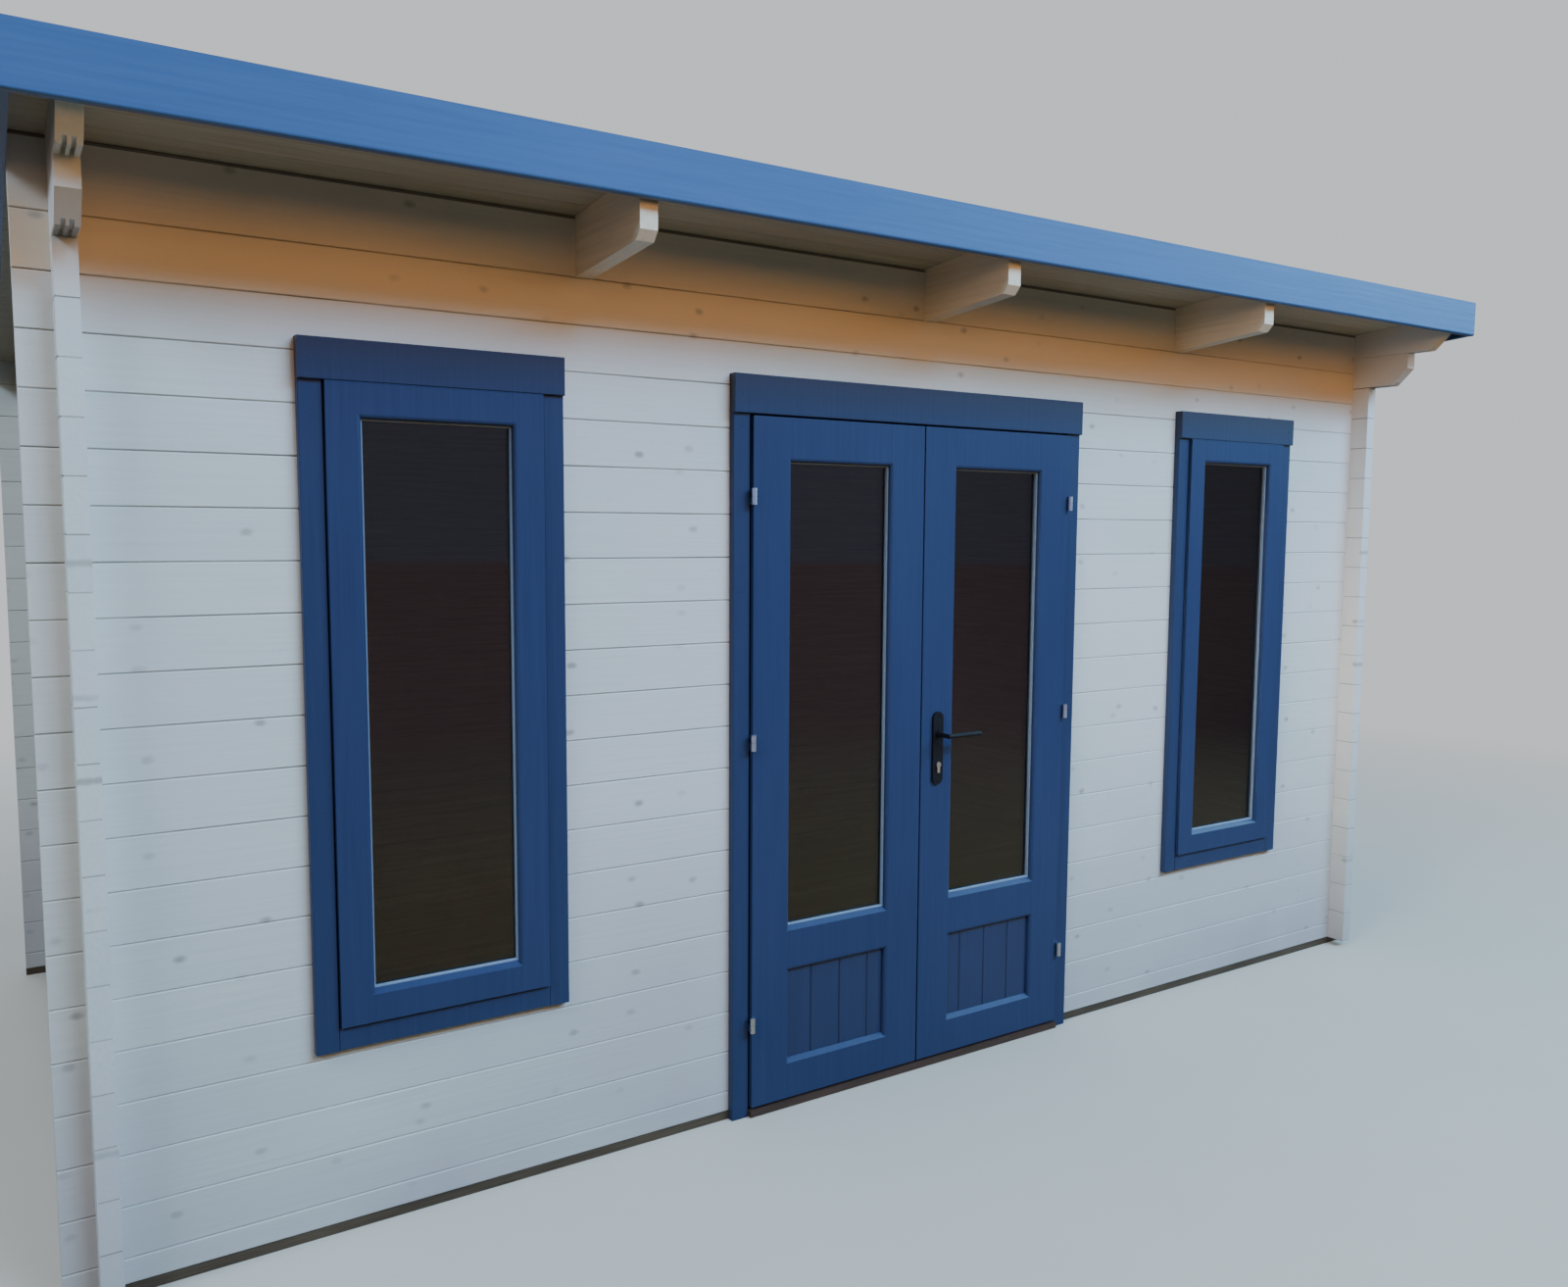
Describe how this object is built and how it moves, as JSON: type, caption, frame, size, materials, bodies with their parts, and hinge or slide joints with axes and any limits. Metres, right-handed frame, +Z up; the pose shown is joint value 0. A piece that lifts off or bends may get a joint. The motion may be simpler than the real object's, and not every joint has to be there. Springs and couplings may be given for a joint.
{
  "type": "garden office log cabin",
  "caption": "Garden office pod with notched log walls, a pent roof on purlins, glazed double doors with a lever, and tall narrow windows.",
  "frame": {"origin": "on the ground under the middle of the roof's outline", "axes": "+X along the front to the right as seen from outside, +Y from the front to the back, +Z up"},
  "size_m": [4.538, 2.86, 2.4718],
  "materials": {
    "wall_paint": "cool white timber paint over fine grain, satin",
    "soffit_paint": "cream white timber paint, matte",
    "frame_paint": "deep slate blue timber paint, satin",
    "panel_paint": "deep slate blue timber paint, satin",
    "fascia_paint": "steel blue timber paint, satin",
    "window_glass": "clear double glazing",
    "roof_membrane": "dark grey roofing sheet, matte",
    "bearer_wood": "dark preserved timber, rough",
    "joist_wood": "preserved timber, rough sawn",
    "floor_wood": "bare pine boards",
    "threshold_wood": "reddish brown hardwood, oiled",
    "zinc": "bright zinc plate",
    "black_metal": "black powder coat, satin",
    "lock_metal": "satin nickel"
  },
  "bodies": {
    "root": {"bearers_front_back": "bearer_wood", "bearers_sides": "bearer_wood", "floor_joists": "joist_wood", "floor_boards": "floor_wood", "front_wall_left_low": "wall_paint", "front_wall_left_corner": "wall_paint", "front_wall_left_pier": "wall_paint", "front_wall_right_low": "wall_paint", "front_wall_right_corner": "wall_paint", "front_wall_right_pier": "wall_paint", "front_wall_top": "wall_paint", "left_side_wall": "wall_paint", "right_side_wall": "wall_paint", "back_wall": "wall_paint", "roof_purlins": "soffit_paint", "roof_boards": "soffit_paint", "roof_covering": "roof_membrane", "front_fascia_left": "fascia_paint", "front_fascia_right": "fascia_paint", "left_fascia": "fascia_paint", "right_fascia": "fascia_paint", "back_fascia": "fascia_paint", "left_window_frame": "frame_paint", "left_window_trim": "frame_paint", "left_window_sash": "frame_paint", "left_window_glass": "window_glass", "right_window_frame": "frame_paint", "right_window_trim": "frame_paint", "right_window_sash": "frame_paint", "right_window_glass": "window_glass", "door_frame": "frame_paint", "door_trim": "frame_paint", "door_threshold": "threshold_wood", "hinge_pins": "zinc"},
    "left_door": {"left_door_leaf": "frame_paint", "left_door_glass": "window_glass", "left_door_panel": "panel_paint", "left_hinge_barrels": "zinc"},
    "right_door": {"right_door_leaf": "frame_paint", "right_door_glass": "window_glass", "right_door_panel": "panel_paint", "right_hinge_barrels": "zinc", "handle_plates": "black_metal", "lock_cylinder": "lock_metal"},
    "lever": {"door_lever": "black_metal"}
  },
  "joints": [
    {"name": "left_door_hinge", "type": "hinge", "parent": "root", "child": "left_door", "pos_m": [-0.5895, -1.084, 1], "axis": [0, 0, -1], "range_deg": [0, 110]},
    {"name": "right_door_hinge", "type": "hinge", "parent": "root", "child": "right_door", "pos_m": [0.5895, -1.084, 1], "axis": [0, 0, 1], "range_deg": [0, 110]},
    {"name": "lever_turn", "type": "hinge", "parent": "right_door", "child": "lever", "pos_m": [0.0615, -1.084, 1.029], "axis": [0, 1, 0], "range_deg": [0, 40], "stiffness_Nm_per_rad": 1, "springref_deg": -28.65}
  ]
}
